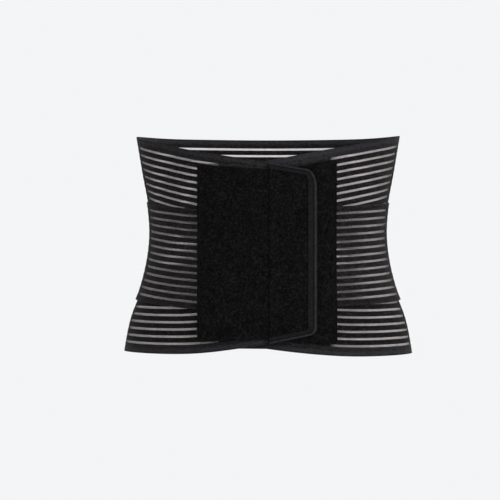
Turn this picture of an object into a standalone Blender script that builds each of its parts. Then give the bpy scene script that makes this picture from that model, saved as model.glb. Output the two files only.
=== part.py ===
"""Lumbosacral brace in its worn shape: three openwork elastic bands, closed in front by loop-faced panels.

Metres, +Z up, front towards -Y. The origin is the middle of the waist hollow.
Cloth is laid on a former, the torso's outline. A point of cloth has a belt coordinate, the length along
the waist from the front centre, which runs from the hidden inner end, over the +X side, round the back and
over the -X side to the closure tab. It also has a height and a layer offset, the distance off the former.
"""

import math

import bmesh
import bpy
import numpy as np
from mathutils import Vector

# Torso outline at the waist
WAIST_HALF_WIDTH = 0.1405
WAIST_FRONT_DEPTH = 0.098
WAIST_BACK_DEPTH = 0.106
TORSO_SQUARENESS = 2.25

# Belt edges, measured up and down from the waist at the back
TOP_HEIGHT = 0.140
BOTTOM_DEPTH = 0.127
MIDDLE_DROP = 0.014

# Openwork elastic
BAND_THICKNESS = 0.0012
STRIPE_PITCH = 0.0084
STRIPE_GAP = 0.0026
OUTER_BORDER = 0.012
OUTER_STRIPES = 11
MIDDLE_STRIPES = 13

# Front panels, lengths along the belt from the front centre
PANEL_THICKNESS = 0.0020
PANEL_CORNER = 0.004
OUTER_PANEL_REACH = 0.0818
OUTER_PANEL_TOP_MARGIN = 0.0150
OUTER_PANEL_BOTTOM_MARGIN = 0.0134
OUTER_PANEL_MARGIN_SEAM = 0.0084
INNER_PANEL_REACH = 0.0793
INNER_PANEL_MARGIN = 0.0135
INNER_PANEL_HIDDEN = 0.050
INNER_BAND_HIDDEN = 0.020
STRIPES_UNDER_INNER_PANEL = 0.0068
STRIPES_UNDER_OUTER_PANEL = 0.0248

# Closure tab, its binding and the hook strip inside it
TAB_LENGTH = 0.0546
TAB_TOP_FALL = 0.0095
TAB_BOTTOM_RISE = 0.0115
TAB_TOP_CORNER_LENGTH = 0.0095
TAB_TOP_CORNER_DROP = 0.0195
TAB_BOTTOM_CORNER = 0.0065
TAB_SETTLE_LENGTH = 0.012
BINDING_SIDE_WIDTH = 0.0075
BINDING_END_WIDTH = 0.0105
BINDING_INNER_CORNER = 0.0030
BINDING_THICKNESS = 0.0009
HOOK_THICKNESS = 0.0014
HOOK_LENGTH = 0.026
HOOK_HEIGHT = 0.130

# Fits
LAYER_GAP = 0.0003
SEAM_GAP = 0.0004
LIFT_RAMP_LENGTH = 0.060

# Facets
FRONT_STEPS = 3
SIDE_STEPS = 9
BACK_STEPS = 3
BACK_FLAT_LENGTH = 0.100
PANEL_ROWS = 10
CORNER_STEPS = 4
SECTION_SAMPLES = 241

# Torso sections. Height is a share of TOP_HEIGHT; the others are shares of the waist sizes above.
SECTION_COLUMNS = ("height", "half_width", "front", "back")
SECTIONS = (
    (-1.10, 1.262, 1.12, 1.29),
    (-0.86, 1.235, 1.12, 1.25),
    (-0.57, 1.175, 1.09, 1.16),
    (-0.33, 1.083, 1.05, 1.08),
    (-0.13, 1.031, 1.02, 1.03),
    (0.00, 1.010, 1.01, 1.00),
    (0.15, 1.000, 1.00, 1.00),
    (0.33, 1.011, 1.00, 1.01),
    (0.68, 1.072, 1.01, 1.06),
    (1.00, 1.125, 1.03, 1.13),
    (1.20, 1.155, 1.05, 1.17),
)

# Belt lines. Around is a share of the half girth: 0 inner front, 0.5 the +X side, 1 back, 1.5 the -X side,
# 2 outer front. Top, drop and bottom are shares of TOP_HEIGHT, MIDDLE_DROP and BOTTOM_DEPTH.
LINE_COLUMNS = ("around", "top", "drop", "bottom")
LINES = (
    (-0.13, 0.685, 0.75, 0.845),
    (0.00, 0.748, 0.71, 0.910),
    (0.21, 0.861, 0.52, 0.977),
    (0.50, 0.992, 0.07, 0.982),
    (0.75, 1.000, 0.02, 0.995),
    (1.00, 1.000, 0.00, 1.000),
    (1.25, 1.000, 0.00, 0.985),
    (1.50, 0.983, 0.03, 0.962),
    (1.79, 0.827, 0.76, 0.951),
    (2.00, 0.730, 1.00, 0.863),
)

# Colour, roughness
FINISHES = {
    "elastic": ((0.018, 0.018, 0.020), 0.78),
    "loop_face": ((0.010, 0.010, 0.011), 0.95),
    "binding": ((0.030, 0.030, 0.034), 0.60),
    "hook_tape": ((0.020, 0.020, 0.021), 0.70),
}


def column(table, names, name):
    """One named column of a table."""
    return np.array([row[names.index(name)] for row in table])


def smooth_through(x, xs, ys):
    """A curve through the points, with the slope at each taken from its two neighbours."""
    slopes = np.gradient(ys, xs)
    i = int(np.clip(np.searchsorted(xs, x) - 1, 0, len(xs) - 2))
    span = xs[i + 1] - xs[i]
    t = min(max((x - xs[i]) / span, 0.0), 1.0)
    rise = t * t * (3 - 2 * t)
    start_bend = t * (1 - t) ** 2 * span * slopes[i]
    end_bend = t * t * (t - 1) * span * slopes[i + 1]
    return ys[i] + (ys[i + 1] - ys[i]) * rise + start_bend + end_bend


def smooth_step(x, start, end):
    """0 before start, 1 after end, and a smooth ramp between."""
    t = min(max((x - start) / (end - start), 0.0), 1.0)
    return t * t * (3 - 2 * t)


def section_sizes(height):
    """Half width, front depth and back depth of the torso at a height."""
    share = height / TOP_HEIGHT
    heights = column(SECTIONS, SECTION_COLUMNS, "height")
    waist = (
        ("half_width", WAIST_HALF_WIDTH),
        ("front", WAIST_FRONT_DEPTH),
        ("back", WAIST_BACK_DEPTH),
    )
    return [
        size * smooth_through(share, heights, column(SECTIONS, SECTION_COLUMNS, name))
        for name, size in waist
    ]


def half_outline(height):
    """Angles from front to back at a height, with the torso's (x, y) points there and their arc lengths."""
    half_width, front, back = section_sizes(height)
    angles = np.linspace(0.0, math.pi, SECTION_SAMPLES)
    depths = np.where(angles < math.pi / 2, front, back)
    across = (np.abs(np.sin(angles)) / half_width) ** TORSO_SQUARENESS
    along = (np.abs(np.cos(angles)) / depths) ** TORSO_SQUARENESS
    radii = (across + along) ** (-1 / TORSO_SQUARENESS)
    points = np.stack([radii * np.sin(angles), -radii * np.cos(angles)], axis=1)
    steps = np.linalg.norm(np.diff(points, axis=0), axis=1)
    return points, np.concatenate([[0.0], np.cumsum(steps)])


HALF_GIRTH = half_outline(0.0)[1][-1]
FULL_GIRTH = 2 * HALF_GIRTH
INNER_STRIPE_START = INNER_PANEL_REACH - STRIPES_UNDER_INNER_PANEL
OUTER_STRIPE_END = OUTER_PANEL_REACH - STRIPES_UNDER_OUTER_PANEL
BAND_LAYERS = [k * (BAND_THICKNESS + LAYER_GAP) for k in range(4)]
PANEL_LAYER = BAND_LAYERS[3]
OVERLAP_LIFT = PANEL_LAYER + PANEL_THICKNESS + LAYER_GAP
TAB_LAYER = HOOK_THICKNESS + LAYER_GAP
BINDING_REACH = LAYER_GAP + BINDING_THICKNESS
MIDDLE_WIDTH = (MIDDLE_STRIPES + 1) * STRIPE_PITCH
OUTER_WIDTH = OUTER_BORDER + OUTER_STRIPES * STRIPE_PITCH


def skin_point(belt, height, offset):
    """A point on the smooth torso, pushed out by the offset in the horizontal plane."""
    around = belt if belt <= HALF_GIRTH else belt - FULL_GIRTH
    points, arcs = half_outline(height)
    share = abs(around) / HALF_GIRTH
    front_share = OUTER_PANEL_REACH / HALF_GIRTH
    spare = (arcs[-1] - HALF_GIRTH) * smooth_step(share, front_share, 1.0)
    arc = min(abs(around) + spare, arcs[-1])
    x, y = (np.interp(arc, arcs, points[:, k]) for k in (0, 1))
    reach = arcs[1]
    ahead = [np.interp(min(arc + reach, arcs[-1]), arcs, points[:, k]) for k in (0, 1)]
    behind = [np.interp(max(arc - reach, 0.0), arcs, points[:, k]) for k in (0, 1)]
    tangent = Vector((ahead[0] - behind[0], ahead[1] - behind[1]))
    if arc < reach or arc > arcs[-1] - reach:
        tangent.y = 0.0
    normal = Vector((-tangent.y, tangent.x)).normalized()
    if normal.x * x + normal.y * y < 0:
        normal = -normal
    side = math.copysign(1.0, around)
    return Vector((side * (x + offset * normal.x), y + offset * normal.y, height))


def former_stations():
    """Belt coordinates where the former's facets meet, the same for every layer of cloth."""
    flat_end = HALF_GIRTH - BACK_FLAT_LENGTH
    inner_half, outer_half = (
        np.concatenate(
            [
                np.linspace(0.0, stripes, FRONT_STEPS),
                np.linspace(OUTER_PANEL_REACH, flat_end, SIDE_STEPS + 1)[:-1],
                np.linspace(flat_end, HALF_GIRTH, BACK_STEPS + 1),
            ]
        )
        for stripes in (INNER_STRIPE_START, OUTER_STRIPE_END)
    )
    turn = np.concatenate([inner_half[:-1], FULL_GIRTH - outer_half[::-1]])
    stations = np.concatenate([turn[:-1] - FULL_GIRTH, turn[:-1], turn + FULL_GIRTH])
    return stations


STATIONS = former_stations()


def overlap_lift(belt):
    """How far the outer end is lifted to pass over the inner panel."""
    full_at = FULL_GIRTH - INNER_PANEL_HIDDEN - 2 * LAYER_GAP
    station = STATIONS[np.searchsorted(STATIONS, full_at) - 1]
    return OVERLAP_LIFT * smooth_step(belt, station - LIFT_RAMP_LENGTH, station)


def ring_belt(belt):
    """The same place on the ring, as a coordinate that skin_point reads."""
    return belt - FULL_GIRTH if belt > FULL_GIRTH + HALF_GIRTH else belt


def former_point(belt, height, offset):
    """A point of cloth on the faceted former: straight between the two stations beside it."""
    i = int(np.clip(np.searchsorted(STATIONS, belt) - 1, 0, len(STATIONS) - 2))
    ends = STATIONS[i], STATIONS[i + 1]
    t = (belt - ends[0]) / (ends[1] - ends[0])
    start, end = (
        skin_point(ring_belt(at), height, offset + overlap_lift(at)) for at in ends
    )
    return start.lerp(end, t)


def belt_line(name, belt):
    """Height of the belt's top or bottom edge, or of the middle band's centre line."""
    sizes = {"top": TOP_HEIGHT, "drop": -MIDDLE_DROP, "bottom": -BOTTOM_DEPTH}
    around = column(LINES, LINE_COLUMNS, "around")
    shares = column(LINES, LINE_COLUMNS, name)
    return sizes[name] * smooth_through(belt / HALF_GIRTH, around, shares)


def belt_columns(start, end, extra=()):
    """Columns of a sheet: its two ends, the stations between them and any extra ones."""
    inside = [s for s in (*STATIONS, *extra) if start < s < end]
    columns = [start]
    for at in sorted([*inside, end]):
        if at - columns[-1] > LAYER_GAP:
            columns.append(at)
    columns[-1] = end
    return columns


def finish_material(name):
    """The material of a finish, made once."""
    found = bpy.data.materials.get(name)
    if found:
        return found
    colour, roughness = FINISHES[name]
    material = bpy.data.materials.new(name)
    material.use_nodes = True
    shader = material.node_tree.nodes["Principled BSDF"]
    shader.inputs["Base Color"].default_value = (*colour, 1.0)
    shader.inputs["Roughness"].default_value = roughness
    shader.inputs["Metallic"].default_value = 0.0
    return material


def add_object(name, mesh_data, finish, thickness=None):
    """Puts a mesh in the scene as a named piece; cloth is thickened outwards."""
    mesh = bpy.data.meshes.new(name)
    mesh_data.to_mesh(mesh)
    mesh_data.free()
    mesh.materials.append(finish_material(finish))
    piece = bpy.data.objects.new(name, mesh)
    bpy.context.scene.collection.objects.link(piece)
    if thickness:
        wall = piece.modifiers.new("wall", "SOLIDIFY")
        wall.thickness = thickness
        wall.offset = 1.0
        wall.use_even_offset = True
    return piece


def never_open(belt, row):
    """A sheet without slots."""
    return False


def grid_sheet(name, columns, heights_at, offset_at, finish, thickness, is_open=never_open):
    """A sheet of cloth on the former: a grid of columns and rows, with the open cells left out."""
    bm = bmesh.new()
    grid = [
        [bm.verts.new(former_point(at, z, offset_at(at))) for z in heights_at(at)]
        for at in columns
    ]
    for i in range(len(columns) - 1):
        middle = (columns[i] + columns[i + 1]) / 2
        for row in range(len(grid[i]) - 1):
            if is_open(middle, row):
                continue
            corners = (grid[i][row], grid[i + 1][row])
            above = (grid[i + 1][row + 1], grid[i][row + 1])
            bm.faces.new((*corners, *above))
    return add_object(name, bm, finish, thickness)


def stripe_rows(first_border, stripes, last_border):
    """Distances across a band at which its ribs begin and end: rib, stripe, rib and so on."""
    centres = first_border + STRIPE_PITCH * np.arange(stripes)
    edges = [(c - STRIPE_GAP / 2, c + STRIPE_GAP / 2) for c in centres]
    return [0.0, *(e for pair in edges for e in pair), centres[-1] + last_border]


def add_band(name, base_line, base_shift, rows, offset):
    """One openwork elastic band, from the inner end round the back to the seam of the tab."""
    start = -INNER_BAND_HIDDEN
    end = FULL_GIRTH - SEAM_GAP - LAYER_GAP
    slot_start = INNER_STRIPE_START
    slot_end = FULL_GIRTH - OUTER_STRIPE_END

    def heights_at(at):
        base = belt_line(base_line, at) + base_shift
        return [base + row for row in rows]

    def is_open(at, row):
        return row % 2 == 1 and slot_start < at < slot_end

    def offset_at(at):
        return offset

    columns = belt_columns(start, end)
    return grid_sheet(name, columns, heights_at, offset_at, "elastic", BAND_THICKNESS, is_open)


def add_bands():
    """The lower band lies innermost, the upper band over it and the middle band over both."""
    outer_rows = stripe_rows(OUTER_BORDER, OUTER_STRIPES, STRIPE_PITCH)
    from_top = [-row for row in reversed(outer_rows)]
    middle_rows = stripe_rows(STRIPE_PITCH, MIDDLE_STRIPES, STRIPE_PITCH)
    add_band("lower_band", "bottom", 0.0, outer_rows, BAND_LAYERS[0])
    add_band("upper_band", "top", 0.0, from_top, BAND_LAYERS[1])
    add_band("middle_band", "drop", -MIDDLE_WIDTH / 2, middle_rows, BAND_LAYERS[2])


def corner_drop(distance, radius):
    """How far a rounded corner lies inside the straight edge, at a distance from the sheet's end."""
    if distance >= radius:
        return 0.0
    return radius - math.sqrt(max(radius**2 - (radius - distance) ** 2, 0.0))


def corner_columns(edge, radius, side):
    """Columns that follow a rounded corner; side is +1 where the sheet runs on from its edge."""
    turns = np.linspace(0.0, math.pi / 2, CORNER_STEPS + 1)[1:]
    return [edge + side * radius * (1 - math.cos(turn)) for turn in turns]


def add_panel(name, start, end, edge, side, bottom_at, top_at):
    """A loop-faced front panel with rounded corners at its edge."""

    def heights_at(at):
        drop = corner_drop(abs(at - edge), PANEL_CORNER)
        return np.linspace(bottom_at(at) + drop, top_at(at) - drop, PANEL_ROWS + 1)

    def offset_at(at):
        return PANEL_LAYER

    columns = belt_columns(start, end, corner_columns(edge, PANEL_CORNER, side))
    return grid_sheet(name, columns, heights_at, offset_at, "loop_face", PANEL_THICKNESS)


def add_panels():
    """The outer panel ends at the seam; the inner one runs on under it."""
    outer_edge = FULL_GIRTH - OUTER_PANEL_REACH
    seam = FULL_GIRTH - SEAM_GAP

    def outer_margin(at, margin_at_edge):
        share = (at - outer_edge) / OUTER_PANEL_REACH
        return margin_at_edge + share * (OUTER_PANEL_MARGIN_SEAM - margin_at_edge)

    add_panel(
        "outer_panel",
        outer_edge,
        seam,
        outer_edge,
        1,
        lambda at: belt_line("bottom", at) + outer_margin(at, OUTER_PANEL_BOTTOM_MARGIN),
        lambda at: belt_line("top", at) - outer_margin(at, OUTER_PANEL_TOP_MARGIN),
    )
    add_panel(
        "inner_panel",
        -INNER_PANEL_HIDDEN,
        INNER_PANEL_REACH,
        INNER_PANEL_REACH,
        -1,
        lambda at: belt_line("bottom", at) + INNER_PANEL_MARGIN,
        lambda at: belt_line("top", at) - INNER_PANEL_MARGIN,
    )


def tab_edge(name, past_seam):
    """Height of the tab's bound top or bottom edge before its corners are rounded."""
    share = past_seam / TAB_LENGTH
    change = -TAB_TOP_FALL if name == "top" else TAB_BOTTOM_RISE
    return belt_line(name, FULL_GIRTH) + change * share


def tab_layer(at):
    """The tab leaves the seam level with the outer panel, then settles on the hook strip."""
    settled = smooth_step(at - FULL_GIRTH, SEAM_GAP, TAB_SETTLE_LENGTH)
    return PANEL_LAYER + (TAB_LAYER - PANEL_LAYER) * settled


def run_lengths(end):
    """Lengths past the seam at which the tab's straight edges bend with the former, and their end."""
    settling = [TAB_SETTLE_LENGTH / 2, TAB_SETTLE_LENGTH]
    stations = [at - FULL_GIRTH for at in STATIONS]
    corner_start = TAB_LENGTH - TAB_TOP_CORNER_LENGTH - BINDING_REACH
    kept = [s for s in stations if TAB_SETTLE_LENGTH < s < corner_start]
    run = [SEAM_GAP, *settling, *kept]
    limited = [min(s, end - SEAM_GAP * (len(run) - k)) for k, s in enumerate(run)]
    return [*limited, end]


def tab_corners(shrink):
    """Length and drop of the tab's top and bottom corners, for a line inside its bare edge."""
    return [
        [max(size - shrink, BINDING_INNER_CORNER) for size in corner]
        for corner in (
            (TAB_TOP_CORNER_LENGTH, TAB_TOP_CORNER_DROP),
            (TAB_BOTTOM_CORNER, TAB_BOTTOM_CORNER),
        )
    ]


def tab_half_line(name, side_inset, end_inset, rounding):
    """A line inside the tab's bound edge: along its top or bottom, then round the corner."""
    length, drop = rounding
    inwards = -1 if name == "top" else 1
    end = TAB_LENGTH - end_inset
    run = [(s, 0.0) for s in run_lengths(end - length)]
    turns = np.linspace(0.0, math.pi / 2, CORNER_STEPS + 1)[1:]
    corner = [
        (end - length * (1 - math.sin(turn)), drop * (1 - math.cos(turn)))
        for turn in turns
    ]
    return [
        Vector((s, tab_edge(name, s) + inwards * (side_inset + fall)))
        for s, fall in (*run, *corner)
    ]


def tab_line(side_inset, end_inset, corners):
    """A whole line inside the tab's bound edge, from the seam's top round to its bottom."""
    top = tab_half_line("top", side_inset, end_inset, corners[0])
    bottom = tab_half_line("bottom", side_inset, end_inset, corners[1])
    between = [
        top[-1].lerp(bottom[-1], row / PANEL_ROWS) for row in range(1, PANEL_ROWS)
    ]
    return [*top, *between, *reversed(bottom)]


def add_tab():
    """The closure tab beyond the seam."""
    top_corner, bottom_corner = tab_corners(0.0)
    top = tab_half_line("top", BINDING_REACH, BINDING_REACH, top_corner)
    bottom = tab_half_line("bottom", BINDING_REACH, BINDING_REACH, bottom_corner)

    def heights_at(at):
        low, high = (
            np.interp(at - FULL_GIRTH, [p.x for p in line], [p.y for p in line])
            for line in (bottom, top)
        )
        return np.linspace(low, high, PANEL_ROWS + 1)

    extra = [FULL_GIRTH + p.x for p in (*top, *bottom)]
    columns = belt_columns(extra[0], extra[-1], extra)
    return grid_sheet("closure_tab", columns, heights_at, tab_layer, "loop_face", PANEL_THICKNESS)


def add_binding():
    """Tape folded over the tab's edge: a U section carried along the tab's outline."""
    bound = tab_line(0.0, 0.0, tab_corners(-BINDING_REACH))
    edge = tab_line(BINDING_REACH, BINDING_REACH, tab_corners(0.0))
    tape_inside = BINDING_END_WIDTH - BINDING_REACH
    inner = tab_line(BINDING_SIDE_WIDTH, BINDING_END_WIDTH, tab_corners(tape_inside))
    inner_low, inner_high = -LAYER_GAP, PANEL_THICKNESS + LAYER_GAP
    outer_low, outer_high = inner_low - BINDING_THICKNESS, inner_high + BINDING_THICKNESS
    fold = BINDING_THICKNESS / 2
    bm = bmesh.new()
    rings = []
    for out, rim, leg in zip(bound, edge, inner):
        bend = out.lerp(rim, fold / BINDING_REACH)
        wall = rim.lerp(out, LAYER_GAP / BINDING_REACH)
        section = (
            (leg, outer_high),
            (bend, outer_high),
            (out, outer_high - fold),
            (out, outer_low + fold),
            (bend, outer_low),
            (leg, outer_low),
            (leg, inner_low),
            (wall, inner_low),
            (wall, inner_high),
            (leg, inner_high),
        )
        ring = []
        for place, above in section:
            at = FULL_GIRTH + place.x
            ring.append(bm.verts.new(former_point(at, place.y, tab_layer(at) + above)))
        rings.append(ring)
    count = len(rings[0])
    for ring, following in zip(rings, rings[1:]):
        for k in range(count):
            after = (k + 1) % count
            bm.faces.new((ring[k], ring[after], following[after], following[k]))
    for ring in (rings[0], rings[-1]):
        bm.faces.new((ring[0], ring[9], ring[8], ring[1]))
        bm.faces.new((ring[1], ring[8], ring[7], ring[4], ring[3], ring[2]))
        bm.faces.new((ring[4], ring[7], ring[6], ring[5]))
    bmesh.ops.recalc_face_normals(bm, faces=bm.faces)
    return add_object("tab_binding", bm, "binding")


def add_hook_strip():
    """The hidden hook strip that holds the tab to the inner panel."""

    def heights_at(at):
        return np.linspace(-HOOK_HEIGHT / 2, HOOK_HEIGHT / 2, PANEL_ROWS)

    def offset_at(at):
        return 0.0

    start = FULL_GIRTH + TAB_SETTLE_LENGTH
    columns = belt_columns(start, start + HOOK_LENGTH)
    return grid_sheet("hook_strip", columns, heights_at, offset_at, "hook_tape", HOOK_THICKNESS)


def main():
    for old in list(bpy.data.objects):
        bpy.data.objects.remove(old)
    add_bands()
    add_panels()
    add_tab()
    add_binding()
    add_hook_strip()


main()
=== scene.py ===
"""Dresses the lumbosacral brace: ribbed openwork elastic, loop-faced panels, bound tab and their stitching.

Metres, +Z up, front towards -Y. Cloth is laid on the torso's outline by a belt coordinate (length along the
waist from the front centre, over +X, round the back and over -X to the closure tab), a height and an offset.
"""

import math

import bpy
import numpy as np
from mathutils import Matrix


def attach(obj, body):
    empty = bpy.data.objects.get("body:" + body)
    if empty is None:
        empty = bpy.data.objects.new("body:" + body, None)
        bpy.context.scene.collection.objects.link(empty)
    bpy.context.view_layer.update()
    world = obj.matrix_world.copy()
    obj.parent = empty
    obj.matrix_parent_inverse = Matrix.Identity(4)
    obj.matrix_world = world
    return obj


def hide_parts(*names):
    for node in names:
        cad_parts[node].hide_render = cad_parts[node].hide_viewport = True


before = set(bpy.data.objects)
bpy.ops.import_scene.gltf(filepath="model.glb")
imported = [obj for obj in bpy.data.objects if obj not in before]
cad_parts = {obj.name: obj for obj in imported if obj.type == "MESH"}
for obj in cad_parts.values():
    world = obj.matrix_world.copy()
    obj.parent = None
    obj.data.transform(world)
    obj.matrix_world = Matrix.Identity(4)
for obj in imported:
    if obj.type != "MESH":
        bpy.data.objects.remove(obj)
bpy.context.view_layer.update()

# Torso outline and belt edges, as the solids have them
WAIST_HALF_WIDTH = 0.1405
WAIST_FRONT_DEPTH = 0.098
WAIST_BACK_DEPTH = 0.106
TORSO_SQUARENESS = 2.25
TOP_HEIGHT = 0.140
BOTTOM_DEPTH = 0.127
MIDDLE_DROP = 0.014
OUTLINE_SAMPLES = 481
GRID_COLUMNS = 321
GRID_ROWS = 190
GRID_LOW = -0.150
GRID_HIGH = 0.165
NORMAL_REACH = 0.0016

# Openwork elastic
BAND_THICKNESS = 0.0012
LAYER_STEP = 0.0015
STRIPE_PITCH = 0.0084
STRIPE_GAP = 0.0026
OUTER_BORDER = 0.012
OUTER_STRIPES = 11
MIDDLE_STRIPES = 13
BAND_COLUMNS = 200
CLOSED_COLUMNS = 22
CORD_PITCH = 0.00145
CORD_STEPS = 4
CORD_DEPTH = 0.00035
RIB_EDGE_ROUND = 0.00022
RIB_EDGE_HEIGHT = 0.0006

# Pale yarns in the stripes, and the black ties across them
YARN_SIDES = 3
INLAY_YARNS = 4
INLAY_WIDTHS = {"lower_band": 0.00061, "upper_band": 0.00058, "middle_band": 0.00050}
INLAY_COLUMNS = 180
INLAY_DEPTH = 0.00045
INLAY_RISE = 0.00030
INLAY_SWAY = 0.00003
INLAY_SWAY_LENGTH = 0.043
INLAY_SWAY_SHIFT = 9000.0
INLAY_TAPER_AT_START = 0.009
INLAY_TAPER_AT_END = 0.016
INLAY_END_WIDTH = 0.30
TUCK = 0.0006
TIE_PITCH = 0.0010
TIE_WIDTH = 0.00022
TIE_DEPTH = 0.00072
TIE_JITTER = 0.00008
TIE_LEAN = 0.00018
# Share of the way round the waist, and how bright the pale yarn is there: it dulls where the knit is slack,
# and its dimming near the panels and towards the sides is also painted shade
YARN_DULLING_AND_PAINTED_SHADE = {
    "lower_band": [
        (0.12, 0.55), (0.145, 0.73), (0.17, 0.90), (0.20, 1.0), (0.865, 1.0), (0.88, 0.86), (0.897, 0.58),
    ],
    "upper_band": [(0.12, 0.90), (0.87, 0.92), (0.897, 0.74)],
    "middle_band": [
        (0.095, 0.54), (0.106, 0.29), (0.121, 0.29), (0.134, 0.50), (0.144, 0.66), (0.156, 0.92), (0.25, 1.0),
        (0.77, 1.0), (0.81, 0.88), (0.838, 0.66), (0.850, 0.47), (0.866, 0.34), (0.897, 0.34),
    ],
}

# Panels, stitching and seam
PANEL_THICKNESS = 0.0020
PANEL_CORNER = 0.004
PANEL_ROUND = 0.0009
PANEL_ROWS = 80
OUTER_PANEL_COLUMNS = 70
INNER_PANEL_COLUMNS = 80
PANEL_RIPPLE = 0.00022
# Radians for each metre along the belt and up, with the long ripple's phases and the short one's share
LONG_RIPPLE = (210.0, 95.0)
LONG_RIPPLE_PHASES = (1.3, 0.4)
SHORT_RIPPLE = (480.0, 330.0)
SHORT_RIPPLE_SHARE = 0.6
# Distances from a panel's edge at which its skin has a row of points
EDGE_STEPS = np.array([0.0, 0.06, 0.2, 0.45, 0.9, 1.4, 1.9, 2.3, 2.65, 3.0, 3.35, 3.7, 4.1, 4.8]) * 1e-3
STITCH_INSET = 0.0030
STITCH_SINK = 0.00045
STITCH_SINK_WIDTH = 0.0006
STITCH_PITCH = 0.0031
STITCH_LENGTH = 0.0025
STITCH_WIDTH = 0.00045
STITCH_BOW = 0.00012
STITCH_TAPER = (0.35, 0.9, 1.0, 0.9, 0.35)
STITCH_SIDES = 6
STITCH_PATH_TURNS = 9
STITCH_PATH_SIDE_STEPS = 60
STITCH_PATH_END_STEPS = 70
STITCH_PATH_START = 0.001
SEAM_CLOSED = 0.00008
SEAM_CORD = 0.0009
SEAM_CORD_HEIGHT = 0.0006
SEAM_CORD_SIDES = 8
SEAM_CORD_STEPS = 160
SEAM_CORD_OVERRUN = 0.004
SEAM_STITCH_STEPS = 120
SEAM_STITCH_SPREAD = 0.0016
SEAM_LINE_WIDTH = 0.0013
OUTER_PANEL_REACH = 0.0818
OUTER_PANEL_TOP_MARGIN = 0.0150
OUTER_PANEL_BOTTOM_MARGIN = 0.0134
OUTER_PANEL_MARGIN_SEAM = 0.0084
INNER_PANEL_REACH = 0.0793
INNER_PANEL_MARGIN = 0.0135
INNER_PANEL_HIDDEN = 0.050
INNER_BAND_HIDDEN = 0.020
STRIPES_UNDER_INNER_PANEL = 0.0068
STRIPES_UNDER_OUTER_PANEL = 0.0248

# Tab, binding and hook strip
TAB_LENGTH = 0.0546
TAB_TOP_FALL = 0.0095
TAB_BOTTOM_RISE = 0.0115
TAB_TOP_CORNER_LENGTH = 0.0095
TAB_TOP_CORNER_DROP = 0.0195
TAB_BOTTOM_CORNER = 0.0065
TAB_SETTLE_LENGTH = 0.012
TAB_COLUMNS = 60
TAB_RUN_STEPS = 26
TAB_TURN_STEPS = 14
TAB_END_STEPS = 90
BINDING_SIDE_WIDTH = 0.0075
BINDING_END_WIDTH = 0.0105
BINDING_INNER_CORNER = 0.0030
BINDING_THICKNESS = 0.0009
BINDING_PUCKER = 0.00007
PUCKER_WANDER = 1.7
PUCKER_WANDER_TURN = 240.0
PUCKER_FROM_HEIGHT = 0.0026
BINDING_STITCH_SHARE = 0.42
BINDING_STITCH_HEIGHT = 0.0027
# Where the tape's painted highlight along the fold, and the painted shade of its stitched line, lie across it
FOLD_LINE = 0.0070
FOLD_LINE_WIDTH = 0.0011
STITCHED_LINE = 0.0052
STITCHED_LINE_WIDTH = 0.0006
SEWN_DOWN_LENGTH = 0.006
SEWN_DOWN_SHARE = 0.30
# The folded tape's section, from its front inner edge over the bound edge to the back: share of the way from
# the bound edge to the tape's inner edge, and millimetres above the tab's back
BINDING_SECTION = np.array(
    [
        (1.00, 2.30), (1.00, 2.75), (0.985, 3.02), (0.95, 3.16), (0.85, 3.22), (0.70, 3.24),
        (0.56, 3.18), (0.48, 2.92), (0.43, 2.66), (0.38, 2.80), (0.33, 3.16), (0.27, 3.46),
        (0.20, 3.58), (0.13, 3.52), (0.07, 3.24), (0.03, 2.78), (0.006, 2.10), (0.00, 1.30),
        (0.01, 0.50), (0.04, -0.20), (0.09, -0.70), (0.16, -1.02), (0.25, -1.15), (0.45, -1.18),
        (0.70, -1.18), (0.95, -1.16), (1.00, -0.95), (1.00, -0.30), (0.60, -0.30), (0.16, -0.30),
        (0.13, 0.30), (0.125, 1.00), (0.13, 1.70), (0.16, 2.30), (0.60, 2.30),
    ]
)
HOOK_THICKNESS = 0.0014
HOOK_LENGTH = 0.026
HOOK_HEIGHT = 0.130
HOOK_GROUND = 0.0008
HOOK_SEAT = 0.0006
HOOK_COLUMNS = 28
HOOK_ROWS = 60
HOOK_PITCH = 0.0018
HOOK_MARGIN = 0.001
HOOK_WIRE = 0.00018
HOOK_SIDES = 4
HOOK_SLANT = 0.3
HOOK_ROOT = 0.0001
HOOK_BEND = (0.0, 0.00012, 0.00040, 0.00062)
HOOK_STAND = (0.0, -0.00040, -0.00046, -0.00024)
LAYER_GAP = 0.0003
SEAM_GAP = 0.0004
LIFT_RAMP_LENGTH = 0.060

# Looks: a noise is its scale, detail and roughness, a bump its distance and strength, a finish roughness,
# specular and sheen, and a pair of wave lengths runs along and across the cloth

# Each knit's name, the lift of its tone, the lift of its border, and that of its top border in front
KNITS = {
    "lower_band": ("elastic_knit_lower", -0.040, 0.080, 0.0),
    "upper_band": ("elastic_knit_upper", -0.012, 0.040, 0.060),
    "middle_band": ("elastic_knit_middle", -0.005, 0.0, 0.0),
}
KNIT_SHADES = [
    (0.405, (0.0006, 0.0006, 0.0008)), (0.500, (0.0089, 0.0079, 0.0079)), (0.620, (0.0245, 0.0236, 0.0254)),
]
KNIT_STITCH = (0.0011, 0.0009)
KNIT_MESH = (0.0037, 0.0031)
KNIT_BLOTCHES = (110.0, 4.0)
KNIT_STREAKS = ((130.0, 430.0, 1.0), 3.0, 0.75)
KNIT_FIBRES = ((290.0, 390.0, 1.0), 2.0, 0.75)
KNIT_SHARES = (0.08, 0.36, 0.56)
KNIT_STITCH_SHARE = 0.06
KNIT_MESH_SHARE = 0.045
# Strength of the painted shade along the middle of each rib
KNIT_HOLLOW_PAINTED_SHADE = 0.035
KNIT_STITCH_BUMP = (0.00014, 0.8)
KNIT_STREAK_BUMP = (0.00020, 0.7)
KNIT_FINISH = (0.80, 0.05, 0.03)
BORDER_TINT = (0.95, 0.975, 1.03)
BORDER_CALM = -0.40
TOP_LIFT_AT = 0.035
TOP_LIFT_WIDTH = 0.065
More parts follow.
